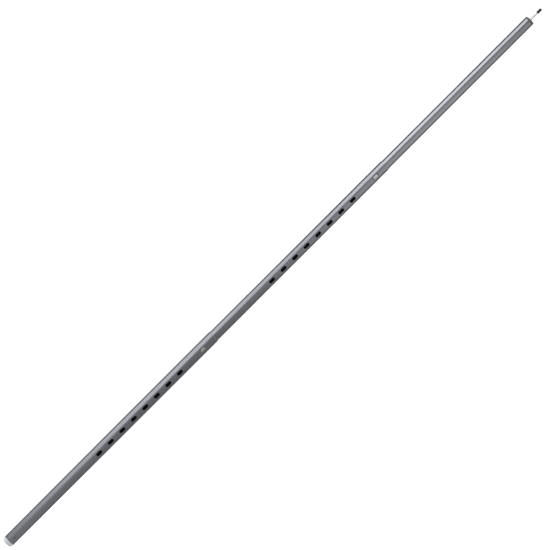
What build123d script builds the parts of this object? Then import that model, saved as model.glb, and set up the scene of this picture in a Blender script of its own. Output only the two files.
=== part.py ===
from build123d import *
from math import sqrt
import os

# A three-section telescopic support pole, standing on its foot.
# All sizes are in millimetres. +Z runs up the pole, its holes and buttons face -Y,
# and the origin is the middle of the foot's underside.

# sections, as pulled out
LOWER_LEN = 586.5        # lower tube
UPPER_SHOW = 412.7       # upper tube above the middle tube's mouth
TAIL = 46.0              # an inner tube's length below its own button
LOWER_MOUTH = 34.2       # lower tube's mouth above its button
MIDDLE_MOUTH = 30.3      # middle tube's mouth above its button

# adjustment holes
PITCH = 33.0             # hole to hole
HOLES = 8                # in each row
BLANK_STEPS = 2          # button to the highest hole of the row
BUTTON_STEPS = 15        # lower button to upper button, so the two rows share one grid

# tubes
LOWER_R = 12.5           # outer radius of the lower tube
WALL = 0.85
SLIDE_GAP = 0.15         # radial play of one tube in the next
LIP_R = 0.6              # rounding of a mouth
END_R = 0.3              # rounding of a plain end

# snap button, drawn out of a folded leaf
BUTTON_LEN = 13.0
BUTTON_WID = 6.0
BUTTON_PROUD = 1.6       # above the outer tube
BUTTON_EDGE = 1.2        # rounding of its crown
HOLE_PLAY_LEN = 0.8      # at each end, in an outer tube's hole
HOLE_PLAY_WID = 0.75     # at each side, in an outer tube's hole
OWN_PLAY_LEN = 0.4       # at each end, in the tube that carries it
OWN_PLAY_WID = 0.3       # at each side, in the tube that carries it
LEAF_T = 0.8
LEAF_W = 9.0
LEAF_SEAT = 0.05         # leaf's edges to the tube's inner wall
LEAF_TAB = 15.0          # leaf below the middle of the button
FOLD_UP = 54.0           # fold above the middle of the button
FOLD_R = 2.2             # at the strip's middle
BACK_END = 6.0           # back leg's end above the middle of the button

# foot
FOOT_H = 8.7             # below the lower tube
FOOT_FLAT_R = 6.0        # what it stands on
FOOT_RIM = 1.2           # straight rim under the tube
FOOT_STEM = 36.0
FOOT_WALL = 3.0
FOOT_SKIN = 4.0          # solid over the flat
STAKE_UP = 12.8          # punched dimple above the tube's lower end
STAKE_R = 1.6
STAKE_DEEP = 0.8
STAKE_GROOVE = 1.0       # groove in the stem behind it
STAKE_GROOVE_H = 6.0

# glide at the lower end of each inner tube
GLIDE_GAP = 0.10         # radial running clearance in the outer tube
GLIDE_FLANGE = 3.0
GLIDE_STEM = 14.0
GLIDE_WALL = 2.4

# top plug, spike and cap
FLANGE_H = 4.6
FLANGE_EDGE = 1.8
PLUG_STEM = 24.0
SHANK_R = 2.5
SHANK_LEN = 20.0
SPIKE_R = 2.0
SPIKE_BARE = 20.0
NECK_R = 1.6
NECK_LEN = 8.6
CAP_R = 3.0
CAP_LEN = 11.8
CAP_EDGE = 2.2
CAP_GAP = 0.05           # radial, on the neck
CAP_ROOM = 0.4           # over the neck's end

FROM_BELOW = (Align.CENTER, Align.CENTER, Align.MIN)

# radii of the nested tubes
LOWER_BORE = LOWER_R - WALL
MIDDLE_R = LOWER_BORE - SLIDE_GAP
MIDDLE_BORE = MIDDLE_R - WALL
UPPER_R = MIDDLE_BORE - SLIDE_GAP
UPPER_BORE = UPPER_R - WALL

# heights
LOWER_TOP = FOOT_H + LOWER_LEN
LOWER_BUTTON = LOWER_TOP - LOWER_MOUTH
MIDDLE_LOW = LOWER_BUTTON - TAIL
UPPER_BUTTON = LOWER_BUTTON + BUTTON_STEPS * PITCH
MIDDLE_TOP = UPPER_BUTTON + MIDDLE_MOUTH
UPPER_LOW = UPPER_BUTTON - TAIL
UPPER_TOP = MIDDLE_TOP + UPPER_SHOW
FLANGE_TOP = UPPER_TOP + FLANGE_H
CAP_LOW = FLANGE_TOP + SPIKE_BARE
STAKE_Z = FOOT_H + STAKE_UP

os.makedirs("parts", exist_ok=True)


def row_heights(button_z):
    """The button's own hole, then the row of holes below it."""
    row = [button_z - (BLANK_STEPS + i) * PITCH for i in range(HOLES)]
    return [button_z] + row


def cut_slots(heights, length, width, reach):
    """Oblong holes through the front wall of the part being built."""
    with BuildSketch(Plane.XZ) as slots:
        with Locations(*[(0, z) for z in heights]):
            SlotOverall(length, width, rotation=90)
    extrude(slots.sketch, amount=reach, mode=Mode.SUBTRACT)


def make_tube(low, top, r_out, top_r):
    """A plain drawn tube with both outer edges rounded."""
    with BuildPart() as tube:
        with Locations((0, 0, low)):
            Cylinder(r_out, top - low, align=FROM_BELOW)
        rims = tube.edges().filter_by(GeomType.CIRCLE).sort_by(Axis.Z)
        fillet(rims[-1], top_r)
        rims = tube.edges().filter_by(GeomType.CIRCLE).sort_by(Axis.Z)
        fillet(rims[0], END_R)
        with Locations((0, 0, low)):
            Cylinder(r_out - WALL, top - low, align=FROM_BELOW, mode=Mode.SUBTRACT)
    return tube


def make_glide(low_end, bore, outer_bore):
    """A plastic bush pressed into an inner tube's lower end, running in the outer tube."""
    flange_r = outer_bore - GLIDE_GAP
    with BuildPart() as glide:
        with Locations((0, 0, low_end - GLIDE_FLANGE)):
            Cylinder(flange_r, GLIDE_FLANGE, align=FROM_BELOW)
        chamfer(glide.edges().filter_by(GeomType.CIRCLE).sort_by(Axis.Z)[0], 0.6)
        with Locations((0, 0, low_end)):
            Cylinder(bore, GLIDE_STEM, align=FROM_BELOW)
        chamfer(glide.edges().filter_by(GeomType.CIRCLE).sort_by(Axis.Z)[-1], 0.6)
        with Locations((0, 0, low_end - GLIDE_FLANGE)):
            Cylinder(
                bore - GLIDE_WALL,
                GLIDE_FLANGE + GLIDE_STEM,
                align=FROM_BELOW,
                mode=Mode.SUBTRACT,
            )
    return glide


def make_clip(button_z, bore, outer_r):
    """A strip of spring steel folded to a V, with a hollow oblong button drawn out of its front leg."""
    seat = sqrt(bore**2 - (LEAF_W / 2) ** 2) - LEAF_SEAT
    mid = seat - LEAF_T / 2
    crown = outer_r + BUTTON_PROUD
    shoulder = BUTTON_LEN / 2 + 2.0
    path = [
        (-mid, button_z - LEAF_TAB),
        (-mid, button_z + shoulder),
        (-FOLD_R, button_z + FOLD_UP),
        (FOLD_R, button_z + FOLD_UP),
        (mid, button_z + BACK_END),
    ]
    with BuildPart() as clip:
        with BuildSketch(Plane.YZ):
            with BuildLine():
                FilletPolyline(*path, radius=(12.0, FOLD_R * 0.85, FOLD_R * 0.85))
            trace(line_width=LEAF_T)
        extrude(amount=LEAF_W / 2, both=True)
        with BuildSketch(Plane.XZ.offset(mid)):
            with Locations((0, button_z)):
                SlotOverall(BUTTON_LEN, BUTTON_WID, rotation=90)
        extrude(amount=crown - mid)
        rim = clip.faces().sort_by(Axis.Y)[0].edges()
        fillet(rim, BUTTON_EDGE)
        with BuildSketch(Plane.XZ.offset(seat - LEAF_T - 1)):
            with Locations((0, button_z)):
                SlotOverall(
                    BUTTON_LEN - 2 * LEAF_T, BUTTON_WID - 2 * LEAF_T, rotation=90
                )
        extrude(amount=crown - LEAF_T - (seat - LEAF_T - 1), mode=Mode.SUBTRACT)
    return clip


hole_len = BUTTON_LEN + 2 * HOLE_PLAY_LEN
hole_wid = BUTTON_WID + 2 * HOLE_PLAY_WID
own_len = BUTTON_LEN + 2 * OWN_PLAY_LEN
own_wid = BUTTON_WID + 2 * OWN_PLAY_WID

# lower tube, with its row of holes and the punched dimple that holds the foot
lower_plain = make_tube(FOOT_H, LOWER_TOP, LOWER_R, LIP_R)
stake_y = -(LOWER_R - STAKE_DEEP + STAKE_R)

with BuildPart() as outside_lower:
    with Locations((0, 0, STAKE_Z)):
        Cylinder(LOWER_R + 3 * STAKE_R, 6 * STAKE_R)
        Cylinder(LOWER_R, 6 * STAKE_R, mode=Mode.SUBTRACT)

with BuildPart() as lower_tube:
    add(lower_plain.part)
    with Locations((0, stake_y, STAKE_Z)):
        Sphere(STAKE_R + WALL)
    add(outside_lower.part, mode=Mode.SUBTRACT)
    with Locations((0, stake_y, STAKE_Z)):
        Sphere(STAKE_R, mode=Mode.SUBTRACT)
    cut_slots(row_heights(LOWER_BUTTON), hole_len, hole_wid, LOWER_R + 1)

# foot: a domed cap with a hollow stem pressed into the lower tube
with BuildPart() as foot_plug:
    with BuildSketch(Plane.XZ):
        with BuildLine():
            Line((0, 0), (FOOT_FLAT_R, 0))
            SagittaArc(
                (FOOT_FLAT_R, 0),
                (LOWER_R, FOOT_H - FOOT_RIM),
                -0.2 * (LOWER_R - FOOT_FLAT_R),
            )
            Polyline(
                (LOWER_R, FOOT_H - FOOT_RIM),
                (LOWER_R, FOOT_H),
                (LOWER_BORE, FOOT_H),
                (LOWER_BORE, FOOT_H + FOOT_STEM - 1.5),
                (LOWER_BORE - 0.8, FOOT_H + FOOT_STEM),
                (LOWER_BORE - FOOT_WALL, FOOT_H + FOOT_STEM),
                (LOWER_BORE - FOOT_WALL, FOOT_SKIN + FOOT_RIM),
                (0, FOOT_SKIN),
                (0, 0),
            )
        make_face()
    revolve(axis=Axis.Z)
    with BuildSketch(Plane.XY.offset(STAKE_Z - STAKE_GROOVE_H / 2)):
        Circle(LOWER_BORE + 1)
        Circle(LOWER_BORE - STAKE_GROOVE, mode=Mode.SUBTRACT)
    extrude(amount=STAKE_GROOVE_H, mode=Mode.SUBTRACT)

# middle tube: a hole for its own button below, the row for the upper button above
middle_plain = make_tube(MIDDLE_LOW, MIDDLE_TOP, MIDDLE_R, LIP_R)
with BuildPart() as middle_tube:
    add(middle_plain.part)
    cut_slots([LOWER_BUTTON], own_len, own_wid, MIDDLE_R + 1)
    cut_slots(row_heights(UPPER_BUTTON), hole_len, hole_wid, MIDDLE_R + 1)

# upper tube: only the hole for its own button
upper_plain = make_tube(UPPER_LOW, UPPER_TOP, UPPER_R, END_R)
with BuildPart() as upper_tube:
    add(upper_plain.part)
    cut_slots([UPPER_BUTTON], own_len, own_wid, UPPER_R + 1)

middle_glide = make_glide(MIDDLE_LOW, MIDDLE_BORE, LOWER_BORE)
upper_glide = make_glide(UPPER_LOW, UPPER_BORE, MIDDLE_BORE)
middle_clip = make_clip(LOWER_BUTTON, MIDDLE_BORE, LOWER_R)
upper_clip = make_clip(UPPER_BUTTON, UPPER_BORE, MIDDLE_R)

# top plug, with the spike's shank seated in it
with BuildPart() as top_plug:
    with Locations((0, 0, UPPER_TOP)):
        Cylinder(UPPER_R, FLANGE_H, align=FROM_BELOW)
    fillet(top_plug.edges().filter_by(GeomType.CIRCLE).sort_by(Axis.Z)[-1], FLANGE_EDGE)
    with Locations((0, 0, UPPER_TOP - PLUG_STEM)):
        Cylinder(UPPER_BORE, PLUG_STEM, align=FROM_BELOW)
    chamfer(top_plug.edges().filter_by(GeomType.CIRCLE).sort_by(Axis.Z)[0], 1.0)
    with Locations((0, 0, FLANGE_TOP - SHANK_LEN)):
        Cylinder(SHANK_R, SHANK_LEN, align=FROM_BELOW, mode=Mode.SUBTRACT)

# spike: shank, bare length, then a thinner neck for the cap
with BuildPart() as tip_spike:
    with Locations((0, 0, FLANGE_TOP - SHANK_LEN)):
        Cylinder(SHANK_R, SHANK_LEN, align=FROM_BELOW)
    with Locations((0, 0, FLANGE_TOP)):
        Cylinder(SPIKE_R, SPIKE_BARE, align=FROM_BELOW)
    with Locations((0, 0, CAP_LOW)):
        Cylinder(NECK_R, NECK_LEN, align=FROM_BELOW)
    chamfer(tip_spike.edges().filter_by(GeomType.CIRCLE).sort_by(Axis.Z)[-1], 0.5)

# rubber cap over the neck
with BuildPart() as tip_cap:
    with Locations((0, 0, CAP_LOW)):
        Cylinder(CAP_R, CAP_LEN, align=FROM_BELOW)
    fillet(tip_cap.edges().filter_by(GeomType.CIRCLE).sort_by(Axis.Z)[-1], CAP_EDGE)
    with Locations((0, 0, CAP_LOW)):
        Cylinder(
            NECK_R + CAP_GAP,
            NECK_LEN + CAP_ROOM,
            align=FROM_BELOW,
            mode=Mode.SUBTRACT,
        )

pieces = {
    "lower_tube": lower_tube,
    "foot_plug": foot_plug,
    "middle_tube": middle_tube,
    "middle_glide": middle_glide,
    "middle_clip": middle_clip,
    "upper_tube": upper_tube,
    "upper_glide": upper_glide,
    "upper_clip": upper_clip,
    "top_plug": top_plug,
    "tip_spike": tip_spike,
    "tip_cap": tip_cap,
}
for name, piece in pieces.items():
    piece.part.label = name
    export_step(piece.part, "parts/" + name + ".step")
    print(name, round(piece.part.volume, 1), len(piece.part.solids()))
print("travel", (BLANK_STEPS + HOLES - 1) * PITCH, "lower button", LOWER_BUTTON)
print("upper button", UPPER_BUTTON, "flange top", FLANGE_TOP, "total", CAP_LOW + CAP_LEN)
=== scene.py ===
import math

import bmesh
import bpy
from bpy.props import FloatProperty, FloatVectorProperty, IntProperty, PointerProperty
from mathutils import Matrix, Vector


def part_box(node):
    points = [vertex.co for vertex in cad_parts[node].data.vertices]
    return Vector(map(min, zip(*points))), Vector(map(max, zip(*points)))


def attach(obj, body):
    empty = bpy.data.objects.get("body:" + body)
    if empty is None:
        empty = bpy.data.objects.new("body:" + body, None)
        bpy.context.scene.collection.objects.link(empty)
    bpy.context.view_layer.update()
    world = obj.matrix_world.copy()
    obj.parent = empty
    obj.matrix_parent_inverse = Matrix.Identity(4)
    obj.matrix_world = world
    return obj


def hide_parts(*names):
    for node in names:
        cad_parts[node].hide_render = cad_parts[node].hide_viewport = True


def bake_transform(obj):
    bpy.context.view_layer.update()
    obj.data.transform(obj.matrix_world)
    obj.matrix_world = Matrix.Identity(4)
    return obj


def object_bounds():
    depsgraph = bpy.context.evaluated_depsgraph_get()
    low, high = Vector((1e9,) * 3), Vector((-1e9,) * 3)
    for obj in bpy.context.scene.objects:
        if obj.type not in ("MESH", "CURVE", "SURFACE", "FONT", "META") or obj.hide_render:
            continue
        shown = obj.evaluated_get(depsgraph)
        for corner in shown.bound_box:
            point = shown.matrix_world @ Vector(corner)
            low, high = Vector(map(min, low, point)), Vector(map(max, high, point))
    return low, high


bl_info = {
    "name": "Telescopic Support Pole",
    "version": (1, 0, 0),
    "blender": (4, 5, 0),
    "location": "View3D > Sidebar > Pole",
    "description": "Builds the tubes, snap buttons, end fittings and finishes of a telescopic support pole",
    "category": "Object",
}

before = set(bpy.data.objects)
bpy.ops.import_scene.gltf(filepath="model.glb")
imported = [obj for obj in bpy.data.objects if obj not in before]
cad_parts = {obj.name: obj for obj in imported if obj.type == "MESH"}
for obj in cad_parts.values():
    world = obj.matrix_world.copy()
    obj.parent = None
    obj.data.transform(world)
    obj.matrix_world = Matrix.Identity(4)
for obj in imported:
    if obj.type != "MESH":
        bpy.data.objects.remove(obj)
CAD_BOX = [list(corner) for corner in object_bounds()]
FLOAT = "NodeSocketFloat"

FINE = 1e-6  # a length that counts as none
WELD = 2e-6  # vertices as near as this become one


def low(node):
    """Height of a frame node's lowest point."""
    return float(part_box(node)[0][2])


def top(node):
    """Height of a frame node's highest point."""
    return float(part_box(node)[1][2])


def widest(node):
    """Half of a frame node's width across the pole."""
    lowest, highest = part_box(node)
    return (float(highest[0]) - float(lowest[0])) / 2


def place(made, node, body):
    """Stands for a frame node and rides on its body."""
    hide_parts(node)
    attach(made, body)


# ---------------------------------------------------------------- settings


def length(name, text, default):
    return FloatProperty(
        name=name,
        description=text,
        default=default,
        min=0.0,
        precision=5,
        subtype="DISTANCE",
        unit="LENGTH",
    )


def colour(name, text, default):
    return FloatVectorProperty(
        name=name,
        description=text,
        default=default,
        min=0.0,
        max=1.0,
        size=3,
        subtype="COLOR",
    )


class PoleTubeSizes(bpy.types.PropertyGroup):
    """Sizes of the three tubes and their holes"""

    lower_radius: length(
        "Lower radius", "Outer radius of the lower tube", widest("lower_tube")
    )
    middle_radius: length(
        "Middle radius", "Outer radius of the middle tube", widest("middle_tube")
    )
    upper_radius: length(
        "Upper radius", "Outer radius of the upper tube", widest("upper_tube")
    )
    wall: length("Wall", "Thickness of each tube", 0.00085)
    mouth_round: length("Mouth rounding", "Rounding of a tube's mouth", 0.0006)
    end_round: length("End rounding", "Rounding of a tube's other end", 0.0003)
    rim_bevel: length("Hole rim", "Broken edge round each hole", 0.00014)
    hole_count: IntProperty(
        name="Holes", description="Adjustment holes in a row", default=8, min=1
    )
    hole_pitch: length("Pitch", "One hole to the next", 0.033)
    blank_steps: IntProperty(
        name="Blank steps",
        description="Pitches from the button down to the first hole of the row",
        default=2,
        min=1,
    )
    hole_length: length("Hole length", "Along the pole", 0.0146)
    hole_width: length("Hole width", "Across the pole", 0.0075)
    own_length: length(
        "Button slot length", "Slot in the tube that carries the button", 0.0138
    )
    own_width: length(
        "Button slot width", "Slot in the tube that carries the button", 0.0066
    )
    stake_up: length("Stake height", "Dimple above the lower tube's end", 0.0128)
    stake_radius: length("Stake radius", "Radius of the punch", 0.0016)
    stake_depth: length("Stake depth", "Depth of the dimple", 0.0008)
    segments: IntProperty(
        name="Segments", description="Facets round each tube", default=96, min=32
    )


class PoleButtonSizes(bpy.types.PropertyGroup):
    """Sizes of the snap buttons and their folded leaves"""

    length: length("Button length", "Along the pole", 0.013)
    width: length("Button width", "Across the pole", 0.006)
    proud: length("Proud", "Crown above the outer tube", 0.0016)
    edge: length("Crown rounding", "Rounding of the crown", 0.0012)
    leaf_thickness: length("Leaf thickness", "Spring strip", 0.0008)
    leaf_width: length("Leaf width", "Spring strip", 0.009)
    leaf_play: length("Leaf play", "Leaf's edges to the tube's bore", 0.00005)
    leaf_tab: length("Leaf tab", "Leaf below the middle of the button", 0.015)
    fold_up: length("Fold height", "Fold above the middle of the button", 0.054)
    fold_radius: length("Fold radius", "At the middle of the strip", 0.0022)
    back_end: length("Back leg's end", "Above the middle of the button", 0.006)


class PoleEndSizes(bpy.types.PropertyGroup):
    """Sizes of the foot, glides, top plug, spike and cap"""

    foot_height: length("Foot height", "Below the lower tube", low("lower_tube"))
    foot_flat: length("Foot flat", "Radius that the pole stands on", 0.006)
    foot_rim: length("Foot rim", "Straight rim under the tube", 0.0012)
    foot_bulge: length("Foot bulge", "How far the dome swells", 0.0017)
    foot_wall: length("Foot wall", "Wall of its stem", 0.003)
    foot_skin: length("Foot skin", "Solid over the flat", 0.004)
    groove_depth: length("Groove depth", "Groove behind the dimple", 0.001)
    groove_height: length("Groove height", "Groove behind the dimple", 0.006)
    glide_flange: length("Glide flange", "Height of the glide's collar", 0.003)
    glide_wall: length("Glide wall", "Wall of the glide", 0.0024)
    flange_edge: length("Plug rounding", "Rounding of the top plug", 0.0018)
    spike_radius: length("Spike radius", "Bare length of the spike", 0.002)
    neck_radius: length("Neck radius", "Under the cap", 0.0016)
    cap_edge: length("Cap rounding", "Rounding of the cap's end", 0.0022)
    cap_gap: length("Cap gap", "Bore of the cap over the neck", 0.00005)


class PoleFinishes(bpy.types.PropertyGroup):
    """Colours of the pole's materials"""

    anodised: colour("Anodised", "Grey anodised aluminium", (0.098, 0.1, 0.1085))
    bare: colour("Bare aluminium", "Where the edges are worn", (0.55, 0.55, 0.56))
    # painted shade: the dark colour put in the punched dimple stands for the shade in its recess
    painted_dimple_shade: colour("Painted_shade", "Darkening in the punched dimple", (0.02, 0.019, 0.018))
    steel: colour("Spring steel", "Snap buttons", (0.19, 0.19, 0.188))
    plated: colour("Plated steel", "Spike", (0.2, 0.2, 0.198))
    nylon: colour("Milky nylon", "Foot", (0.30, 0.313, 0.327))
    black_nylon: colour("Black nylon", "Glides", (0.022, 0.022, 0.024))
    plug: colour("Plug", "Top plug", (0.036, 0.036, 0.038))
    rubber: colour("Rubber", "Spike's cap", (0.007, 0.007, 0.0075))
    floor: colour("Floor", "Studio floor", (0.93, 0.93, 0.93))


class PoleStageSizes(bpy.types.PropertyGroup):
    """The studio round the pole"""

    lens: FloatProperty(
        name="Lens", description="Focal length in millimetres", default=180.0, min=20.0
    )
    distance: length("Distance", "Camera to the pole", 5.583)
    azimuth: FloatProperty(
        name="Azimuth",
        description="Camera's turn round the pole",
        default=math.radians(-18.5),
        subtype="ANGLE",
    )
    roll: FloatProperty(
        name="Roll",
        description="Camera's tilt about its own axis",
        default=math.radians(45.018),
        subtype="ANGLE",
    )
    upper_key: FloatProperty(
        name="Upper key", description="Brightness of the left light", default=7.2, min=0.0
    )
    lower_key: FloatProperty(
        name="Lower key", description="Brightness under it", default=4.1, min=0.0
    )
    upper_fill: FloatProperty(
        name="Upper fill", description="Brightness at the right", default=2.0, min=0.0
    )
    room: FloatProperty(
        name="Room", description="Brightness all round", default=0.85, min=0.0
    )


# ---------------------------------------------------------------- mesh tools


def polar(radius, angle, z):
    """A point on a tube, its angle counted from the front."""
    return (radius * math.sin(angle), -radius * math.cos(angle), z)


def level_ring(radius, z, segments):
    """Points all round the pole at one height."""
    return [polar(radius, 2 * math.pi * i / segments, z) for i in range(segments)]


def arc(centre, radius, start, end, steps):
    """Points on an arc, in degrees, both ends included."""
    a, b = math.radians(start), math.radians(end)
    return [
        (
            centre[0] + radius * math.cos(a + (b - a) * i / steps),
            centre[1] + radius * math.sin(a + (b - a) * i / steps),
        )
        for i in range(steps + 1)
    ]


def join_loops(bm, loops, closed=True):
    """Quads between each loop of points and the next."""
    rows = [[bm.verts.new(p) for p in loop] for loop in loops]
    count = len(rows[0])
    for one, two in zip(rows, rows[1:]):
        for i in range(count if closed else count - 1):
            j = (i + 1) % count
            bm.faces.new((one[i], one[j], two[j], two[i]))
    return rows


def tidy(bm):
    """Welds the seams, drops slivers and turns every face outwards."""
    bmesh.ops.remove_doubles(bm, verts=bm.verts, dist=WELD)
    bmesh.ops.dissolve_degenerate(bm, dist=FINE / 2, edges=bm.edges)
    stray = [e for e in bm.edges if not e.link_faces]
    bmesh.ops.delete(bm, geom=stray, context="EDGES")
    bmesh.ops.recalc_face_normals(bm, faces=bm.faces)


def soften(bm, width, angle=40.0, above=-1.0):
    """Breaks the sharp edges above a height."""
    sharp = [
        e
        for e in bm.edges
        if len(e.link_faces) == 2
        and e.calc_face_angle(0.0) > math.radians(angle)
        and e.verts[0].co.z > above
    ]
    bmesh.ops.bevel(
        bm,
        geom=sharp,
        offset=width,
        offset_type="OFFSET",
        segments=2,
        profile=0.5,
        affect="EDGES",
        clamp_overlap=True,
    )


def as_object(name, bm, material, marks=None, angle=35.0):
    """A finished object at the origin, smooth but for its sharp edges."""
    mesh = bpy.data.meshes.new(name)
    bm.to_mesh(mesh)
    for title, marked in (marks or {}).items():
        layer = mesh.attributes.new(title, "FLOAT", "POINT")
        layer.data.foreach_set(
            "value", [marked.get(i, 0.0) for i in range(len(mesh.vertices))]
        )
    bm.free()
    mesh.materials.append(material)
    mesh.shade_smooth()
    mesh.set_sharp_from_angle(angle=math.radians(angle))
    made = bpy.data.objects.new(name, mesh)
    bpy.context.scene.collection.objects.link(made)
    return made


def turned(name, profile, segments, material, angle=35.0):
    """An object made by turning a closed profile of (radius, height) round the pole's axis."""
    bm = bmesh.new()
    join_loops(bm, [level_ring(r, z, segments) for r, z in [*profile, profile[0]]])
    tidy(bm)
    return as_object(name, bm, material, angle=angle)


def oblong(length_, width, grow, across, along):
    """Points round an oblong, from the lower left corner, anticlockwise.

    across counts the steps of an end, along those of a side.
    """
    a = width / 2 + grow
    c = (length_ - width) / 2
    loop = []
    for i in range(across):
        t = math.pi + math.pi * i / across
        loop.append((a * math.cos(t), -c + a * math.sin(t)))
    for i in range(along):
        loop.append((a, -c + 2 * c * i / along))
    for i in range(across):
        t = math.pi * i / across
        loop.append((a * math.cos(t), c + a * math.sin(t)))
    for i in range(along):
        loop.append((-a, c - 2 * c * i / along))
    return loop


def box_loop(half_w, half_h, across, along):
    """Points round a rectangle, matched to those of an oblong."""
    loop = [(-half_w + 2 * half_w * i / across, -half_h) for i in range(across)]
    loop += [(half_w, -half_h + 2 * half_h * i / along) for i in range(along)]
    loop += [(half_w - 2 * half_w * i / across, half_h) for i in range(across)]
    loop += [(-half_w, half_h - 2 * half_h * i / along) for i in range(along)]
    return loop


def ladder(bm, row, across, along):
    """Fills the last loop of an oblong with rungs from side to side."""
    left = [row[0]] + [row[-i] for i in range(1, along + 1)]
    right = [row[across + i] for i in range(along + 1)]
    for i in range(along):
        bm.faces.new((left[i], right[i], right[i + 1], left[i + 1]))
    for first in (0, across + along):
        end = [row[(first + i) % len(row)] for i in range(across + 1)]
        i, j = 0, across
        while j - i > 2:
            bm.faces.new((end[i], end[i + 1], end[j - 1], end[j]))
            i, j = i + 1, j - 1
        if j - i == 2:
            bm.faces.new((end[i], end[i + 1], end[j]))


# ---------------------------------------------------------------- tubes

PATCH_STEPS = 7  # facets each side of the front that a hole's patch takes
PATCH_ALONG = 8  # steps up a patch
PATCH_RINGS = 3  # rings between a patch's border and its hole
PATCH_MARGIN = 0.0025  # patch above and below its hole
DIMPLE_CELL = 0.012  # height of the ring of tube that the dimple is in
DIMPLE_STEPS = 4  # facets each side of the front that the dimple's patch takes
DIMPLE_RINGS = (2.0, 1.5, 1.18, 1.04, 0.98, 0.9, 0.78, 0.62, 0.42, 0.2)  # in dimple radii
PAINTED_SHADE_EDGE = 0.99  # how far out the painted shade in the dimple lies, in dimple radii
ROUND_STEPS = 4  # facets over a rounded end of a tube
MOUTH_ROWS = (0.0016, 0.0004)  # rows under a rounded mouth, which keep the wear to it
MOUTH_WEAR = 0.25  # how rubbed a mouth is, from 0 to 1
HOLE_WEAR = 0.35  # the same for a hole's broken edge
MOUTH_BAND = 0.0007  # height of the rubbed band at a mouth
SAG = 0.00002  # more than a facet lies inside its tube


def tube_span(bm, r_out, r_in, heights, segments):
    """A plain stretch of tube, open at both ends. heights pairs each height with a drop in radius."""
    join_loops(bm, [level_ring(r_out - drop, z, segments) for z, drop in heights])
    join_loops(bm, [level_ring(r_in, heights[i][0], segments) for i in (0, -1)])


def hole_cell(r_out, r_in, cell, hole_len, hole_wid, segments):
    """The mesh of a ring of tube with an oblong hole through its front, centred on height 0."""
    bm = bmesh.new()
    step = 2 * math.pi / segments
    half = hole_len / 2 + PATCH_MARGIN
    levels = [-half + 2 * half * i / PATCH_ALONG for i in range(PATCH_ALONG + 1)]
    heights = [-cell / 2, *levels, cell / 2]
    across = 2 * PATCH_STEPS
    outline = oblong(hole_len, hole_wid, 0.0, across, PATCH_ALONG)
    border = box_loop(PATCH_STEPS * step, half, across, PATCH_ALONG)
    rims = []
    for r in (r_out, r_in):
        back = range(PATCH_STEPS, segments - PATCH_STEPS + 1)
        join_loops(bm, [[polar(r, i * step, z) for i in back] for z in heights], False)
        front = range(-PATCH_STEPS, PATCH_STEPS + 1)
        for pair in ((-cell / 2, -half), (half, cell / 2)):
            join_loops(bm, [[polar(r, i * step, z) for i in front] for z in pair], False)
        inner = [(math.asin(x / r), z) for x, z in outline]
        loops = []
        for k in range(PATCH_RINGS + 2):
            t = k / (PATCH_RINGS + 1)
            loops.append(
                [
                    polar(r, b[0] + (o[0] - b[0]) * t, b[1] + (o[1] - b[1]) * t)
                    for b, o in zip(border, inner)
                ]
            )
        join_loops(bm, loops)
        rims.append(loops[-1])
    join_loops(bm, rims)
    bmesh.ops.remove_doubles(bm, verts=bm.verts, dist=WELD)
    mesh = bpy.data.meshes.new("hole_cell")
    bm.to_mesh(mesh)
    bm.free()
    return mesh


def row_tree():
    """Geometry nodes that repeat one holed ring of tube up the pole."""
    tree = bpy.data.node_groups.new("hole_row", "GeometryNodeTree")
    for title, kind in (
        ("Ring", "NodeSocketGeometry"),
        ("Count", "NodeSocketInt"),
        ("Pitch", FLOAT),
        ("Lowest", FLOAT),
        ("Weld", FLOAT),
        ("Finish", "NodeSocketMaterial"),
    ):
        tree.interface.new_socket(name=title, in_out="INPUT", socket_type=kind)
    tree.interface.new_socket(name="Row", in_out="OUTPUT", socket_type="NodeSocketGeometry")
    add, link = tree.nodes.new, tree.links.new
    given = add("NodeGroupInput")
    first, step = add("ShaderNodeCombineXYZ"), add("ShaderNodeCombineXYZ")
    line = add("GeometryNodeMeshLine")
    line.mode = "OFFSET"
    copies = add("GeometryNodeInstanceOnPoints")
    real = add("GeometryNodeRealizeInstances")
    weld = add("GeometryNodeMergeByDistance")
    paint = add("GeometryNodeSetMaterial")
    result = add("NodeGroupOutput")
    link(given.outputs["Lowest"], first.inputs["Z"])
    link(given.outputs["Pitch"], step.inputs["Z"])
    link(given.outputs["Count"], line.inputs["Count"])
    link(first.outputs[0], line.inputs["Start Location"])
    link(step.outputs[0], line.inputs["Offset"])
    link(line.outputs[0], copies.inputs["Points"])
    link(given.outputs["Ring"], copies.inputs["Instance"])
    link(copies.outputs[0], real.inputs[0])
    link(real.outputs[0], weld.inputs["Geometry"])
    link(given.outputs["Weld"], weld.inputs["Distance"])
    link(weld.outputs[0], paint.inputs["Geometry"])
    link(given.outputs["Finish"], paint.inputs["Material"])
    link(paint.outputs[0], result.inputs[0])
    return tree


def repeat_ring(tree, ring, count, pitch, lowest, material):
    """The plain mesh of a row of holed rings."""
    holder = bpy.data.objects.new("ring_holder", ring)
    bpy.context.scene.collection.objects.link(holder)
    stack = holder.modifiers.new("row", "NODES")
    stack.node_group = tree
    values = {
        "Count": count,
        "Pitch": pitch,
        "Lowest": lowest,
        "Weld": WELD,
        "Finish": material,
    }
    for item in tree.interface.items_tree:
        if item.in_out == "INPUT" and item.name in values:
            stack[item.identifier] = values[item.name]
    bpy.context.view_layer.update()
    seen = holder.evaluated_get(bpy.context.evaluated_depsgraph_get())
    mesh = bpy.data.meshes.new_from_object(seen)
    bpy.data.objects.remove(holder)
    bpy.data.meshes.remove(ring)
    return mesh


def end_rows(z_end, away, rounding):
    """Heights and radius drops that round a tube's outer edge at one end."""
    rows = []
    for i in range(ROUND_STEPS + 1):
        t = math.pi / 2 * i / ROUND_STEPS
        drop = rounding * (1 - math.sin(t))
        rows.append((z_end + away * rounding * (1 - math.cos(t)), drop))
    return rows


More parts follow.
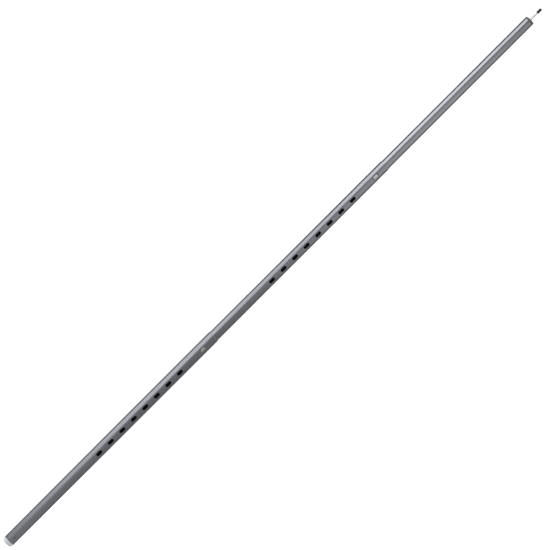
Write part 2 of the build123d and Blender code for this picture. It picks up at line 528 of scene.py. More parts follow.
def build_tube(name, node, body, r_out, rows, mouth, dent, material):
    """One tube.

    rows are (lowest hole, count, hole length, hole width), mouth is the rounding of the top
    end, and dent is the dimple's height, or 0 for none.
    """
    sizes = bpy.context.scene.pole_tubes
    n, pitch = sizes.segments, sizes.hole_pitch
    r_in = r_out - sizes.wall
    tree = bpy.data.node_groups.get("hole_row") or row_tree()
    bottom, height = low(node), top(node)
    bm = bmesh.new()
    taken = []
    for lowest, count, hole_len, hole_wid in rows:
        ring = hole_cell(r_out, r_in, pitch, hole_len, hole_wid, n)
        mesh = repeat_ring(tree, ring, count, pitch, lowest, material)
        bm.from_mesh(mesh)
        bpy.data.meshes.remove(mesh)
        taken.append((lowest - pitch / 2, lowest + (count - 0.5) * pitch))
    if dent:
        dimple_cell(bm, r_out, r_in, dent, n)
        taken.append((dent - DIMPLE_CELL / 2, dent + DIMPLE_CELL / 2))
    edges = [bottom, *[z for pair in sorted(taken) for z in pair], height]
    for start, end in zip(edges[::2], edges[1::2]):
        if end - start < FINE:
            continue
        heights = []
        if start == bottom:
            heights += end_rows(bottom, 1, sizes.end_round)
        else:
            heights.append((start, 0.0))
        if end == height:
            heights += [(height - mouth - below, 0.0) for below in MOUTH_ROWS]
            heights += end_rows(height, -1, mouth)[::-1]
        else:
            heights.append((end, 0.0))
        tube_span(bm, r_out, r_in, heights, n)
    for z, rounding in ((bottom, sizes.end_round), (height, mouth)):
        join_loops(bm, [level_ring(r_out - rounding, z, n), level_ring(r_in, z, n)])
    tidy(bm)
    soften(bm, sizes.rim_bevel, above=dent + DIMPLE_CELL if dent else bottom - FINE)
    bm.verts.index_update()
    bm.normal_update()
    open_mouth = height if mouth > sizes.end_round else math.inf
    marks = {"rim_wear": rim_wear(bm, (r_out, r_in), (bottom, height), open_mouth)}
    # the dimple's mask carries painted shade: its colour is darkened where the recess would be shaded
    if dent:
        marks["painted_dimple_shade_mask"] = painted_dimple_shade_mask(bm, r_out, dent)
    made = as_object(name, bm, material, marks)
    place(made, node, body)


def dimple_radius(punch, deep):
    """Radius of the dimple that a round punch leaves."""
    return math.sqrt(punch**2 - (punch - deep) ** 2)


def dimple_cell(bm, r_out, r_in, z_mid, segments):
    """A ring of tube, its front pushed in by a round punch, with finer rings round the punch."""
    sizes = bpy.context.scene.pole_tubes
    punch, deep, wall = sizes.stake_radius, sizes.stake_depth, sizes.wall
    step = 2 * math.pi / segments
    half = DIMPLE_CELL / 2
    levels = [-half + 2 * half * i / PATCH_ALONG for i in range(PATCH_ALONG + 1)]
    border = box_loop(DIMPLE_STEPS * step, half, 2 * DIMPLE_STEPS, PATCH_ALONG)
    for r, reach in ((r_out, punch), (r_in, punch + wall)):
        shift = reach - punch
        back = range(DIMPLE_STEPS, segments - DIMPLE_STEPS + 1)
        join_loops(
            bm, [[polar(r, i * step, z_mid + z) for i in back] for z in levels], False
        )
        loops = [[polar(r, a, z_mid + z) for a, z in border]]
        for ring in DIMPLE_RINGS:
            away = ring * dimple_radius(reach, deep)
            down = max(0.0, math.sqrt(max(0.0, reach**2 - away**2)) - (punch - deep) - shift)
            loop = []
            for a, z in border:
                way = math.atan2(z, a * r)
                across, up = away * math.cos(way), away * math.sin(way)
                loop.append(polar(r - down, across / r, z_mid + up))
            loops.append(loop)
        rows = join_loops(bm, loops)
        bm.faces.new(rows[-1])


def rim_wear(bm, walls, ends, mouth_z):
    """How much each vertex is rubbed: the holes' broken edges and the mouth."""
    (r_out, r_in), (bottom, height) = walls, ends
    worn = {}
    for v in bm.verts:
        in_wall = r_in + SAG < math.hypot(v.co.x, v.co.y) < r_out - SAG
        if abs(v.co.z - mouth_z) < MOUTH_BAND:
            worn[v.index] = MOUTH_WEAR
        elif bottom + MOUTH_BAND < v.co.z < height - MOUTH_BAND and in_wall:
            worn[v.index] = HOLE_WEAR
    return worn


def painted_dimple_shade_mask(bm, r_out, z_mid):
    """How much painted shade lies at each vertex of the punched dimple, where its recess would be shaded.
    """
    sizes = bpy.context.scene.pole_tubes
    reach = dimple_radius(sizes.stake_radius, sizes.stake_depth) * PAINTED_SHADE_EDGE
    shaded_verts = {}
    for v in bm.verts:
        r = math.hypot(v.co.x, v.co.y)
        away = math.hypot(math.atan2(v.co.x, -v.co.y) * r_out, v.co.z - z_mid)
        if away < reach and r > r_out - sizes.stake_depth - FINE:
            shaded_verts[v.index] = 1.0
    return shaded_verts


# ---------------------------------------------------------------- finishes


def new_group(name, inputs, outputs):
    """A shader node group with its sockets, and its input and output nodes."""
    tree = bpy.data.node_groups.new(name, "ShaderNodeTree")
    for title, kind, value in inputs:
        socket = tree.interface.new_socket(name=title, in_out="INPUT", socket_type=kind)
        socket.default_value = value
    for title, kind in outputs:
        tree.interface.new_socket(name=title, in_out="OUTPUT", socket_type=kind)
    return tree, tree.nodes.new("NodeGroupInput"), tree.nodes.new("NodeGroupOutput")


def feed(tree, socket, value):
    """Gives an input socket a number or colour, or links it to another node."""
    if isinstance(value, bpy.types.NodeSocket):
        tree.links.new(value, socket)
    else:
        socket.default_value = value


def math_node(tree, kind, one, two):
    """A Math node with sockets or numbers on its inputs."""
    node = tree.nodes.new("ShaderNodeMath")
    node.operation = kind
    feed(tree, node.inputs[0], one)
    feed(tree, node.inputs[1], two)
    return node.outputs[0]


def stretched_noise(tree, scale, detail, rough=0.6):
    """Noise in the piece's own space, stretched by three scales."""
    where = tree.nodes.new("ShaderNodeTexCoord")
    turn = tree.nodes.new("ShaderNodeMapping")
    turn.inputs["Scale"].default_value = scale
    noise = tree.nodes.new("ShaderNodeTexNoise")
    noise.inputs["Scale"].default_value = 1.0
    noise.inputs["Detail"].default_value = detail
    noise.inputs["Roughness"].default_value = rough
    tree.links.new(where.outputs["Object"], turn.inputs["Vector"])
    tree.links.new(turn.outputs["Vector"], noise.inputs["Vector"])
    return noise.outputs["Fac"]


def spread(tree, value, from_low, from_high, to_low=0.0, to_high=1.0):
    """A Map Range node."""
    node = tree.nodes.new("ShaderNodeMapRange")
    tree.links.new(value, node.inputs["Value"])
    for title, given in (
        ("From Min", from_low),
        ("From Max", from_high),
        ("To Min", to_low),
        ("To Max", to_high),
    ):
        feed(tree, node.inputs[title], given)
    return node.outputs["Result"]


def draw_lines_group():
    """Fine lines left along a tube by drawing and brushing."""
    tree, given, result = new_group(
        "draw_lines", [("Contrast", FLOAT, 0.5)], [("Tone", FLOAT), ("Height", FLOAT)]
    )
    fine = stretched_noise(tree, (2600.0, 2600.0, 7.0), 2.0)
    broad = stretched_noise(tree, (520.0, 520.0, 1.6), 2.0)
    both = math_node(tree, "ADD", math_node(tree, "MULTIPLY", fine, 0.6), broad)
    level = math_node(tree, "SUBTRACT", both, 0.8)
    tone = math_node(tree, "MULTIPLY", level, given.outputs["Contrast"])
    tree.links.new(math_node(tree, "ADD", tone, 0.5), result.inputs["Tone"])
    tree.links.new(fine, result.inputs["Height"])
    return tree


def smudges_group():
    """Broad uneven handling marks and faint dust."""
    tree, given, result = new_group(
        "smudges",
        [("Low", FLOAT, 0.3), ("High", FLOAT, 0.5)],
        [("Mask", FLOAT), ("Roughness", FLOAT)],
    )
    broad = stretched_noise(tree, (60.0, 60.0, 22.0), 5.0, 0.65)
    mask = spread(tree, broad, 0.35, 0.68)
    tree.links.new(mask, result.inputs["Mask"])
    rough = spread(tree, mask, 0.0, 1.0, given.outputs["Low"], given.outputs["High"])
    tree.links.new(rough, result.inputs["Roughness"])
    return tree


def rub_group():
    """Streaks where one tube has slid in the next, between two heights, and bright edges."""
    tree, given, result = new_group(
        "rub",
        [("From", FLOAT, 0.0), ("To", FLOAT, 1.0), ("Streaks", FLOAT, 0.3)],
        [("Streak", FLOAT), ("Edge", FLOAT)],
    )
    where = tree.nodes.new("ShaderNodeTexCoord")
    split = tree.nodes.new("ShaderNodeSeparateXYZ")
    tree.links.new(where.outputs["Object"], split.inputs[0])
    above = math_node(tree, "GREATER_THAN", split.outputs["Z"], given.outputs["From"])
    reach = spread(
        tree, split.outputs["Z"], given.outputs["From"], given.outputs["To"], 1.0, 0.0
    )
    lines = stretched_noise(tree, (900.0, 900.0, 3.0), 3.0, 0.7)
    thin = spread(tree, lines, 0.58, 0.74)
    streak = math_node(tree, "MULTIPLY", math_node(tree, "MULTIPLY", thin, reach), above)
    tree.links.new(
        math_node(tree, "MULTIPLY", streak, given.outputs["Streaks"]),
        result.inputs["Streak"],
    )
    rim = tree.nodes.new("ShaderNodeAttribute")
    rim.attribute_name = "rim_wear"
    patchy = spread(tree, stretched_noise(tree, (700.0, 700.0, 700.0), 3.0), 0.35, 0.6)
    tree.links.new(
        math_node(tree, "MULTIPLY", rim.outputs["Fac"], patchy), result.inputs["Edge"]
    )
    return tree


def mould_grain_group():
    """The fine even skin of a moulding."""
    tree, given, result = new_group(
        "mould_grain",
        [("Size", FLOAT, 2500.0), ("Contrast", FLOAT, 0.1)],
        [("Tone", FLOAT), ("Height", FLOAT)],
    )
    where = tree.nodes.new("ShaderNodeTexCoord")
    noise = tree.nodes.new("ShaderNodeTexNoise")
    noise.inputs["Detail"].default_value = 3.0
    tree.links.new(where.outputs["Object"], noise.inputs["Vector"])
    tree.links.new(given.outputs["Size"], noise.inputs["Scale"])
    cloud = stretched_noise(tree, (90.0, 90.0, 90.0), 2.0)
    level = math_node(tree, "SUBTRACT", cloud, 0.5)
    tone = math_node(tree, "MULTIPLY", level, given.outputs["Contrast"])
    tree.links.new(math_node(tree, "ADD", tone, 0.5), result.inputs["Tone"])
    tree.links.new(noise.outputs["Fac"], result.inputs["Height"])
    return tree


GROUPS = {
    "draw_lines": draw_lines_group,
    "smudges": smudges_group,
    "rub": rub_group,
    "mould_grain": mould_grain_group,
}


MIX_FIRST, MIX_SECOND, MIX_RESULT = 6, 7, 2  # the Mix node's colour sockets
WHITE = (1.0, 1.0, 1.0, 1.0)
LINE_RELIEF = 0.00001  # height of the lines left by drawing


class Finish:
    """A material being built round one Principled BSDF."""

    def __init__(self, name, **fixed):
        self.material = bpy.data.materials.new(name)
        self.material.use_nodes = True
        self.tree = self.material.node_tree
        self.shader = self.tree.nodes["Principled BSDF"]
        for socket, value in fixed.items():
            self.shader.inputs[socket.replace("_", " ")].default_value = value

    def group(self, name, **values):
        node = self.tree.nodes.new("ShaderNodeGroup")
        node.node_tree = bpy.data.node_groups.get(name) or GROUPS[name]()
        for socket, value in values.items():
            node.inputs[socket.replace("_", " ")].default_value = value
        return node.outputs

    def mix(self, amount, one, two):
        node = self.tree.nodes.new("ShaderNodeMix")
        node.data_type = "RGBA"
        self.tree.links.new(amount, node.inputs["Factor"])
        feed(self.tree, node.inputs[MIX_FIRST], one)
        feed(self.tree, node.inputs[MIX_SECOND], two)
        return node.outputs[MIX_RESULT]

    def to(self, socket, value):
        self.tree.links.new(value, self.shader.inputs[socket])

    def bump(self, height, distance, strength):
        node = self.tree.nodes.new("ShaderNodeBump")
        node.inputs["Strength"].default_value = strength
        node.inputs["Distance"].default_value = distance
        self.tree.links.new(height, node.inputs["Height"])
        self.to("Normal", node.outputs["Normal"])


def shade(rgb, factor=1.0):
    """A lighter or darker colour, with its alpha."""
    return (*(min(1.0, c * factor) for c in rgb), 1.0)


def aluminium(name, rub_from, rub_to, streaks):
    """Grey anodised drawn aluminium, with sliding marks between two heights."""
    tones = bpy.context.scene.pole_finishes
    base = tones.anodised
    made = Finish(name, Metallic=1.0, Specular_Tint=(0.42, 0.42, 0.44, 1.0))
    lines = made.group("draw_lines", Contrast=0.5)
    marks = made.group("smudges", Low=0.29, High=0.37)
    rub = made.group("rub", From=rub_from, To=rub_to, Streaks=streaks)
    skin = made.mix(lines["Tone"], shade(base, 0.86), shade(base, 1.14))
    skin = made.mix(marks["Mask"], skin, shade(base, 1.02))
    skin = made.mix(rub["Streak"], skin, shade(tones.bare))
    skin = made.mix(rub["Edge"], skin, shade(tones.bare))
    # painted shade: the dimple's mask darkens the base colour where its recess would be shaded
    painted_dimple_shade = made.tree.nodes.new("ShaderNodeAttribute")
    painted_dimple_shade.attribute_name = "painted_dimple_shade_mask"
    skin = made.mix(painted_dimple_shade.outputs["Fac"], skin, shade(tones.painted_dimple_shade))
    made.to("Base Color", skin)
    made.to("Roughness", marks["Roughness"])
    made.bump(lines["Height"], LINE_RELIEF, 0.15)
    return made.material


def steel(name, base, rough):
    """Bright metal with faint rolling lines."""
    made = Finish(name, Metallic=1.0)
    lines = made.group("draw_lines", Contrast=0.5)
    marks = made.group("smudges", Low=rough[0], High=rough[1])
    made.to("Base Color", made.mix(lines["Tone"], shade(base, 0.88), shade(base, 1.08)))
    made.to("Roughness", marks["Roughness"])
    made.bump(lines["Height"], LINE_RELIEF, 0.2)
    return made.material


def moulding(name, base, rough, grain, relief, **fixed):
    """Moulded plastic or rubber with its own fine skin."""
    made = Finish(name, **fixed)
    skin = made.group("mould_grain", Size=grain, Contrast=0.8)
    marks = made.group("smudges", Low=rough[0], High=rough[1])
    tint = made.mix(skin["Tone"], shade(base, 0.9), shade(base, 1.1))
    made.to("Base Color", tint)
    made.to("Roughness", marks["Roughness"])
    made.bump(skin["Height"], relief, 0.3)
    return made.material


# ---------------------------------------------------------------- operators


RUB_LENGTH = 0.36  # how far above its button a tube's sliding marks reach
LOWER_RUB = 0.2  # the same above the foot, on the lower tube
INNER_STREAKS, LOWER_STREAKS = 0.3, 0.08  # how plain the sliding marks are


class POLE_OT_tubes(bpy.types.Operator):
    """Builds the three tubes with their rows of oblong holes"""

    bl_idname = "pole.tubes"
    bl_label = "Tubes"

    def execute(self, context):
        s = context.scene.pole_tubes
        tab = context.scene.pole_buttons.leaf_tab
        lower_button = low("middle_clip") + tab
        upper_button = low("upper_clip") + tab
        down = (s.blank_steps + s.hole_count - 1) * s.hole_pitch
        hole = (s.hole_length, s.hole_width)
        own = (s.own_length, s.own_width)
        build_tube(
            "lower_pole_tube",
            "lower_tube",
            "lower_section",
            s.lower_radius,
            [(lower_button - down, s.hole_count, *hole), (lower_button, 1, *hole)],
            s.mouth_round,
            low("lower_tube") + s.stake_up,
            aluminium("anodised_lower", 0.0, LOWER_RUB, LOWER_STREAKS),
        )
        build_tube(
            "middle_pole_tube",
            "middle_tube",
            "middle_section",
            s.middle_radius,
            [
                (lower_button, 1, *own),
                (upper_button - down, s.hole_count, *hole),
                (upper_button, 1, *hole),
            ],
            s.mouth_round,
            0.0,
            aluminium(
                "anodised_middle",
                low("middle_tube"),
                lower_button + RUB_LENGTH,
                INNER_STREAKS,
            ),
        )
        build_tube(
            "upper_pole_tube",
            "upper_tube",
            "upper_section",
            s.upper_radius,
            [(upper_button, 1, *own)],
            s.end_round,
            0.0,
            aluminium(
                "anodised_upper",
                low("upper_tube"),
                upper_button + RUB_LENGTH,
                INNER_STREAKS,
            ),
        )
        return {"FINISHED"}


DOME_STEPS = 18  # facets up the foot's dome
FOOT_BREAK = 0.00015  # broken edge under the tube
STEM_TAPER_HEIGHT, STEM_TAPER = 0.0015, 0.0008  # lead-in at the stem's end


class POLE_OT_foot(bpy.types.Operator):
    """Builds the domed foot and its stem"""

    bl_idname = "pole.foot"
    bl_label = "Foot"

    def execute(self, context):
        e, t = context.scene.pole_ends, context.scene.pole_tubes
        r, bore = t.lower_radius, t.lower_radius - t.wall
        h, stem = e.foot_height, top("foot_plug")
        z_stake = h + t.stake_up
        profile = [(0.0, 0.0), (e.foot_flat * 0.5, 0.0)]
        profile += bulged((e.foot_flat, 0.0), (r, h - e.foot_rim), e.foot_bulge)
        profile += [(r, h - FOOT_BREAK), (r - FOOT_BREAK, h), (bore, h)]
        g, d = e.groove_height / 2, e.groove_depth
        profile += [
            (bore, z_stake - g),
            (bore - d, z_stake - g),
            (bore - d, z_stake + g),
            (bore, z_stake + g),
            (bore, stem - STEM_TAPER_HEIGHT),
            (bore - STEM_TAPER, stem),
            (bore - e.foot_wall, stem),
            (bore - e.foot_wall, e.foot_skin + e.foot_rim),
            (0.0, e.foot_skin),
        ]
        finish = moulding(
            "milky_nylon",
            context.scene.pole_finishes.nylon,
            rough=(0.30, 0.42),
            grain=1800.0,
            relief=0.00003,
            Subsurface_Weight=0.45,
            Subsurface_Radius=(0.9, 0.95, 1.0),
            Subsurface_Scale=0.003,
            IOR=1.52,
        )
        made = turned("domed_foot", profile, t.segments, finish, angle=50)
        place(made, "foot_plug", "lower_section")
        return {"FINISHED"}


def bulged(start, end, sagitta):
    """An arc between two profile points, swelling to the right of the way."""
    a, b = Vector(start), Vector(end)
    chord = b - a
    side = Vector((chord.y, -chord.x)).normalized()
    radius = (chord.length**2 / 4 + sagitta**2) / (2 * sagitta)
    centre = (a + b) / 2 + side * (sagitta - radius)
    first = math.atan2(a.y - centre.y, a.x - centre.x)
    last = math.atan2(b.y - centre.y, b.x - centre.x)
    return arc(centre, radius, math.degrees(first), math.degrees(last), DOME_STEPS)


GLIDE_ROUND = 0.0006  # lower edge of a glide's collar, and its lead-in
GLIDE_BREAK = 0.0003  # its other edges


class POLE_OT_glides(bpy.types.Operator):
    """Builds the plastic glides at the inner tubes' lower ends"""

    bl_idname = "pole.glides"
    bl_label = "Glides"

    def execute(self, context):
        e, t = context.scene.pole_ends, context.scene.pole_tubes
        finish = moulding(
            "black_nylon",
            context.scene.pole_finishes.black_nylon,
            rough=(0.4, 0.55),
            grain=2200.0,
            relief=0.00003,
        )
        for node, body, r_tube in (
            ("middle_glide", "middle_section", t.middle_radius),
            ("upper_glide", "upper_section", t.upper_radius),
        ):
            z0, z1, collar = low(node), top(node), widest(node)
            bore = r_tube - t.wall
            hole = bore - e.glide_wall
            z_seat = z0 + e.glide_flange
            big, small = GLIDE_ROUND, GLIDE_BREAK
            profile = [
                (hole + small, z0),
                *arc((collar - big, z0 + big), big, -90, 0, 5),
                *arc((collar - small, z_seat - small), small, 0, 90, 3),
                (bore, z_seat),
                (bore, z1 - big),
                (bore - big, z1),
                (hole + small, z1),
                (hole, z1 - small),
                (hole, z0 + small),
            ]
            name = node.replace("_glide", "_tube_glide")
            place(turned(name, profile, t.segments, finish), node, body)
        return {"FINISHED"}


BUTTON_ACROSS, BUTTON_ALONG = 12, 8  # steps round an end and up a side
BUTTON_PATCH = 0.0011  # leaf above and below the button's base
DRAWN_ROOT = (  # (outwards, up) from the button's wall and the leaf's face
    (0.0008, 0.0),
    (0.00045, 0.00006),
    (0.00018, 0.00022),
    (0.00004, 0.0006),
    (0.0, 0.001),
)
HOLLOW_MOUTH = ((0.0004, 0.0), (0.0001, 0.0001), (0.0, 0.0004))  # the same, inside
HOLLOW_ROUND = 0.001  # rounding inside the crown
STRIP_EDGE, STRIP_ANGLE = 0.00012, 50.0  # broken edge of the strip, on corners above this
SHOULDER_UP = 0.002  # the front leg bends this far above the button
SHOULDER_BEND = 0.012  # radius of that bend
FOLD_BEND = 0.85  # each of the fold's two bends, in fold radii
BEND_FACET = 9  # degrees of bend to a facet
LEG_STEPS = 6  # steps down the back leg


class POLE_OT_buttons(bpy.types.Operator):
    """Builds the two snap buttons, each drawn out of its folded spring leaf"""

    bl_idname = "pole.buttons"
    bl_label = "Snap buttons"

    def execute(self, context):
        t, b = context.scene.pole_tubes, context.scene.pole_buttons
        finish = steel("button_steel", context.scene.pole_finishes.steel, (0.26, 0.38))
        for node, body, button, carrier, outer in (
            ("middle_clip", "middle_section", "middle_button", t.middle_radius, t.lower_radius),
            ("upper_clip", "upper_section", "upper_button", t.upper_radius, t.middle_radius),
        ):
            z = low(node) + b.leaf_tab
            bm, seat = snap_button(b, z, carrier - t.wall, outer)
            made = as_object(node.replace("_clip", "_snap_button"), bm, finish)
            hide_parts(node)
            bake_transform(made)
        return {"FINISHED"}


def snap_button(b, z0, bore, outer):
    """The folded strip with its hollow button, and how far its outer face stands from the axis."""
    seat = math.sqrt(bore**2 - (b.leaf_width / 2) ** 2) - b.leaf_play
    t = b.leaf_thickness
    half_t = t / 2
    mid = seat - half_t
    crown = outer + b.proud
    across, along = BUTTON_ACROSS, BUTTON_ALONG
    half_w = b.leaf_width / 2
    half_h = b.length / 2 + BUTTON_PATCH
    bm = bmesh.new()
    border = box_loop(half_w, half_h, across, along)
    outside = [(g, seat + up) for g, up in DRAWN_ROOT]
    outside += arc((-b.edge, crown - b.edge), b.edge, 0, 90, 7)
    inside = [(-t + g, seat - t + up) for g, up in HOLLOW_MOUTH]
    inside += arc((-t - HOLLOW_ROUND, crown - t - HOLLOW_ROUND), HOLLOW_ROUND, 0, 90, 5)
    for level, rings in ((seat, outside), (seat - t, inside)):
        loops = [[(x, -level, z0 + z) for x, z in border]]
        for g, y in rings:
            shape = oblong(b.length, b.width, g, across, along)
            loops.append([(x, -y, z0 + z) for x, z in shape])
        rows = join_loops(bm, loops)
        ladder(bm, rows[-1], across, along)
    columns = [-half_w + 2 * half_w * i / across for i in range(across + 1)]
    tab = [((-mid, z0 - b.leaf_tab), (0, 1)), ((-mid, z0 - half_h), (0, 1))]
    strip(bm, tab, columns, half_t, 0)
    strip(bm, leaf_path(b, z0, mid, half_h), columns, half_t, -1)
    sides = [-half_h + 2 * half_h * i / along for i in range(along + 1)]
    for x in (-half_w, half_w):
        pair = [[(x, -y, z0 + z) for z in sides] for y in (seat, seat - t)]
        join_loops(bm, pair, False)
    tidy(bm)
    soften(bm, STRIP_EDGE, STRIP_ANGLE)
    bm.normal_update()
    return bm, seat


def leaf_path(b, z0, mid, half_h):
    """Points and directions up the front leg, over the fold and down the back leg."""
    shoulder = z0 + b.length / 2 + SHOULDER_UP
    corners = [
        Vector((-mid, z0 + half_h)),
        Vector((-mid, shoulder)),
        Vector((-b.fold_radius, z0 + b.fold_up)),
        Vector((b.fold_radius, z0 + b.fold_up)),
        Vector((mid, z0 + b.back_end)),
    ]
    fold = b.fold_radius * FOLD_BEND
    points = [corners[0]]
    for before, at, after, radius in zip(
        corners, corners[1:], corners[2:], (SHOULDER_BEND, fold, fold)
    ):
        came, goes = (at - before).normalized(), (after - at).normalized()
        turn = came.angle(goes)
        cut = radius * math.tan(turn / 2)
        first, last = at - came * cut, at + goes * cut
        side = Vector((came.y, -came.x))
        if side.dot(goes) < 0:
            side = -side
        centre = first + side * radius
        steps = max(3, round(math.degrees(turn) / BEND_FACET))
        for i in range(steps + 1):
            swing = (first - centre).lerp(last - centre, i / steps)
            points.append(centre + swing.normalized() * radius)
    points += [points[-1].lerp(corners[-1], i / LEG_STEPS) for i in range(1, LEG_STEPS + 1)]
    path = []
    for i, p in enumerate(points):
        one = points[max(i - 1, 0)]
        two = points[min(i + 1, len(points) - 1)]
        way = (two - one).normalized()
        path.append(((p.x, p.y), (0, 1) if i == 0 else (way.x, way.y)))
    return path


def strip(bm, path, columns, half_t, free_end):
    """A flat strip along a path in the pole's front-to-back plane, closed at one end."""
    faces = []
    for sign in (1, -1):
        rows = []
        for (y, z), (dy, dz) in path:
            out = (-dz * sign * half_t, dy * sign * half_t)
            rows.append([(x, y + out[0], z + out[1]) for x in columns])
        join_loops(bm, rows, False)
        faces.append(rows)
    for i in (0, -1):
        join_loops(bm, [[row[i] for row in rows] for rows in faces], False)
    join_loops(bm, [rows[free_end] for rows in faces], False)


class POLE_OT_top(bpy.types.Operator):
    """Builds the top plug, the spike and the spike's cap"""

    bl_idname = "pole.top"
    bl_label = "Top fittings"

    def execute(self, context):
        build_plug(context.scene)
        build_spike(context.scene)
        build_cap(context.scene)
        return {"FINISHED"}


SLIM_SEGMENTS = 64  # facets round the spike and its cap
PLUG_CHAMFER = 0.001  # lead-in at the plug's lower end
FLANGE_BREAK = 0.0002  # edge of the flange on the tube
SOCKET_WIDE, SOCKET_DEEP = 0.0004, 0.0003  # broken edge round the spike
SHANK_BREAK = 0.0003  # lower end of the shank
SHANK_STEP = 0.0002  # its upper end, flush with the flange
SHOULDER_BREAK = 0.00015  # where the neck starts
NECK_TAPER = 0.0005  # end of the neck
CAP_ROOM = 0.0004  # bore of the cap above the neck
CAP_BREAK = 0.0003  # edges of the bore
CAP_LEAD = 0.0004  # height of the bore's lead-in
CAP_LIP = 0.00035  # rounding of the cap's lower edge


def build_plug(scene):
    """The plug in the upper tube's end, drilled for the spike."""
    e, t = scene.pole_ends, scene.pole_tubes
    shank, edge = widest("tip_spike"), e.flange_edge
    z_low, z_shank = low("top_plug"), low("tip_spike")
    z_tube, z_flange = top("upper_tube"), top("top_plug")
    r, bore = t.upper_radius, t.upper_radius - t.wall
    profile = [
        (0.0, z_low),
        (bore - PLUG_CHAMFER, z_low),
        (bore, z_low + PLUG_CHAMFER),
        (bore, z_tube),
        (r - FLANGE_BREAK, z_tube),
        (r, z_tube + FLANGE_BREAK),
        *arc((r - edge, z_flange - edge), edge, 0, 90, 10),
        (shank + SOCKET_WIDE, z_flange),
        (shank, z_flange - SOCKET_DEEP),
        (shank, z_shank),
        (0.0, z_shank),
    ]
    finish = moulding(
        "grey_plug",
        scene.pole_finishes.plug,
        rough=(0.42, 0.55),
        grain=2600.0,
        relief=0.00004,
        Specular_IOR_Level=0.3,
    )
    made = turned("top_end_plug", profile, t.segments, finish)
    place(made, "top_plug", "upper_section")


def build_spike(scene):
    """The spike, from its ringed shank in the plug to the neck under the cap."""
    e = scene.pole_ends
    shank, r, neck = widest("tip_spike"), e.spike_radius, e.neck_radius
    z_shank, z_flange = low("tip_spike"), top("top_plug")
    z_cap, z_top = low("tip_cap"), top("tip_spike")
    profile = [
        (0.0, z_shank),
        (shank - SHANK_BREAK, z_shank),
        (shank, z_shank + SHANK_BREAK),
        *knurl_rings(shank, z_shank, z_flange),
        (shank, z_flange - SHANK_STEP),
        (shank - SHANK_STEP, z_flange),
        (r, z_flange),
        (r, z_cap - SHOULDER_BREAK),
        (r - SHOULDER_BREAK, z_cap),
        (neck, z_cap),
        (neck, z_top - NECK_TAPER),
        (neck - NECK_TAPER, z_top),
        (0.0, z_top),
    ]
    finish = steel("plated_steel", scene.pole_finishes.plated, (0.12, 0.22))
    made = turned("steel_spike", profile, SLIM_SEGMENTS, finish)
    place(made, "tip_spike", "upper_section")


def build_cap(scene):
    """The rubber cap over the spike's neck."""
    e = scene.pole_ends
    edge, hole = e.cap_edge, e.neck_radius + e.cap_gap
    r, z_low, z_top = widest("tip_cap"), low("tip_cap"), top("tip_cap")
    z_bore = top("tip_spike") + CAP_ROOM
    profile = [
        (0.0, z_bore),
        (hole - CAP_BREAK, z_bore),
        (hole, z_bore - CAP_BREAK),
        (hole, z_low + CAP_LEAD),
        (hole + CAP_BREAK, z_low),
        *arc((r - CAP_LIP, z_low + CAP_LIP), CAP_LIP, -90, 0, 4),
        *arc((r - edge, z_top - edge), edge, 0, 90, 12),
        (0.0, z_top),
    ]
    finish = moulding(
        "black_rubber",
        scene.pole_finishes.rubber,
        rough=(0.55, 0.72),
        grain=3000.0,
        relief=0.00005,
        Specular_IOR_Level=0.2,
    )
    place(turned("spike_cap", profile, SLIM_SEGMENTS, finish), "tip_cap", "cap")


KNURL_COUNT, KNURL_DEPTH = 9, 0.00018  # grip rings on the shank
KNURL_BELOW, KNURL_ABOVE = 0.002, 0.003  # plain shank under and over them


def knurl_rings(radius, start, end):
    """Shallow grip rings down the hidden part of the shank."""
    rings = []
    first, last = start + KNURL_BELOW, end - KNURL_ABOVE
    step = (last - first) / KNURL_COUNT
    for i in range(KNURL_COUNT):
        z = first + i * step
        rings += [(radius, z), (radius - KNURL_DEPTH, z + step * 0.3)]
        rings += [(radius - KNURL_DEPTH, z + step * 0.5), (radius, z + step * 0.8)]
    return rings


LIGHT_DISTANCE = 1.7  # soft lights to the pole's axis
LIGHTS = {  # degrees from the camera, then width, low edge and high edge
    "upper_key": (-57, (2.0, 1.02, 1.84)),
    "lower_key": (-62, (2.8, 0.01, 0.87)),
    "upper_fill": (50, (3.8, 0.97, 1.82)),
}
NUDGE = Vector((0.0024, 0.0024, 0.0))  # camera's shift in its own plane, which frames the pole
SENSOR = 36.0  # width of the camera's sensor, in millimetres
NEAREST, FARTHEST = 0.1, 200.0  # what the camera sees between
FLOOR_RADIUS = 60.0
FLOOR_GLOW = 0.22  # the floor's own brightness, which evens out its shading
BACKDROP = 1.2  # brightness of the world straight behind the pole


class POLE_OT_stage(bpy.types.Operator):
    """Builds the pale floor, the soft lights and the camera"""

    bl_idname = "pole.stage"
    bl_label = "Stage"

    def execute(self, context):
        stage = context.scene.pole_stage
        middle = Vector((0.0, 0.0, CAD_BOX[1][2] / 2))
        make_floor(context.scene.pole_finishes.floor)
        make_world(context.scene)
        turn = stage.azimuth
        for name, (degrees, edges) in LIGHTS.items():
            soft_box(name, turn + math.radians(degrees), edges, getattr(stage, name))
        back = Vector((math.sin(turn), -math.cos(turn), 0.0))
        lens = bpy.data.cameras.new("camera")
        lens.lens = stage.lens
        lens.sensor_width = SENSOR
        lens.clip_start, lens.clip_end = NEAREST, FARTHEST
        camera = bpy.data.objects.new("camera", lens)
        context.scene.collection.objects.link(camera)
        aim = (-back).to_track_quat("-Z", "Y").to_matrix().to_4x4()
        aim = aim @ Matrix.Rotation(stage.roll, 4, "Z")
        stand = middle + back * stage.distance + aim @ NUDGE
        camera.matrix_world = Matrix.Translation(stand) @ aim
        context.scene.camera = camera
        context.scene.view_settings.view_transform = "Standard"
        return {"FINISHED"}


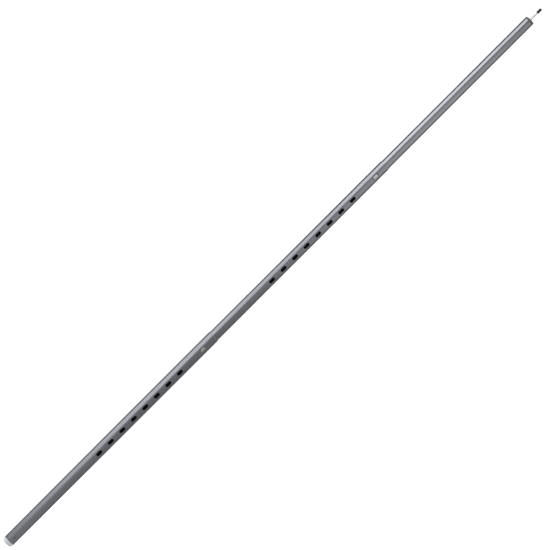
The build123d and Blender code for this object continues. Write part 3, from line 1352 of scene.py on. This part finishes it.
def make_floor(rgb):
    """A wide pale floor, far larger than any view of the pole."""
    bm = bmesh.new()
    bmesh.ops.create_circle(bm, cap_ends=True, segments=96, radius=FLOOR_RADIUS)
    mesh = bpy.data.meshes.new("floor")
    bm.to_mesh(mesh)
    bm.free()
    made = Finish(
        "studio_floor",
        Roughness=0.9,
        Specular_IOR_Level=0.1,
        Base_Color=shade(rgb),
        Emission_Color=WHITE,
        Emission_Strength=FLOOR_GLOW,
    )
    mesh.materials.append(made.material)
    floor = bpy.data.objects.new("studio_floor", mesh)
    bpy.context.scene.collection.objects.link(floor)


def make_world(scene):
    """White to the camera, and a soft pale room to everything else."""
    world = bpy.data.worlds.new("studio")
    world.use_nodes = True
    tree = world.node_tree
    tree.nodes.clear()
    seen = tree.nodes.new("ShaderNodeLightPath")
    pick = tree.nodes.new("ShaderNodeMixShader")
    out = tree.nodes.new("ShaderNodeOutputWorld")
    tree.links.new(seen.outputs["Is Camera Ray"], pick.inputs[0])
    for i, strength in ((1, scene.pole_stage.room), (2, BACKDROP)):
        light = tree.nodes.new("ShaderNodeBackground")
        light.inputs["Color"].default_value = WHITE
        light.inputs["Strength"].default_value = strength
        tree.links.new(light.outputs[0], pick.inputs[i])
    tree.links.new(pick.outputs[0], out.inputs["Surface"])
    scene.world = world


def soft_box(name, angle, edges, brightness):
    """An upright soft light round the pole. edges are its width, low edge and high edge."""
    width, floor, ceiling = edges
    light = bpy.data.lights.new(name, "AREA")
    light.shape = "RECTANGLE"
    light.size, light.size_y = width, ceiling - floor
    light.energy = brightness * math.pi * light.size * light.size_y
    away = Vector((math.sin(angle), -math.cos(angle), 0.0))
    made = bpy.data.objects.new(name, light)
    bpy.context.scene.collection.objects.link(made)
    turn = (-away).to_track_quat("-Z", "Y").to_matrix().to_4x4()
    centre = away * LIGHT_DISTANCE + Vector((0.0, 0.0, (floor + ceiling) / 2))
    made.matrix_world = Matrix.Translation(centre) @ turn
    made.visible_camera = False


class POLE_PT_panel(bpy.types.Panel):
    """Lists the pole's pieces in the sidebar"""

    bl_idname = "POLE_PT_panel"
    bl_label = "Support pole"
    bl_space_type = "VIEW_3D"
    bl_region_type = "UI"
    bl_category = "Pole"

    def draw(self, context):
        for operator in PIECES:
            self.layout.operator(operator.bl_idname)
        for settings in SETTINGS:
            box = self.layout.box()
            group = getattr(context.scene, settings)
            for key in group.bl_rna.properties.keys():
                if key not in ("rna_type", "name"):
                    box.prop(group, key)


SETTINGS = {
    "pole_tubes": PoleTubeSizes,
    "pole_buttons": PoleButtonSizes,
    "pole_ends": PoleEndSizes,
    "pole_finishes": PoleFinishes,
    "pole_stage": PoleStageSizes,
}
PIECES = (
    POLE_OT_tubes,
    POLE_OT_foot,
    POLE_OT_glides,
    POLE_OT_buttons,
    POLE_OT_top,
    POLE_OT_stage,
)
CLASSES = (*SETTINGS.values(), *PIECES, POLE_PT_panel)


def register():
    for made in CLASSES:
        bpy.utils.register_class(made)
    for name, group in SETTINGS.items():
        setattr(bpy.types.Scene, name, PointerProperty(type=group))


def unregister():
    for name in SETTINGS:
        delattr(bpy.types.Scene, name)
    for made in reversed(CLASSES):
        bpy.utils.unregister_class(made)


def main():
    """Builds the pole piece by piece, then its stage."""
    register()
    for operator in PIECES:
        group, name = operator.bl_idname.split(".")
        getattr(getattr(bpy.ops, group), name)()


if __name__ == "__main__":
    main()
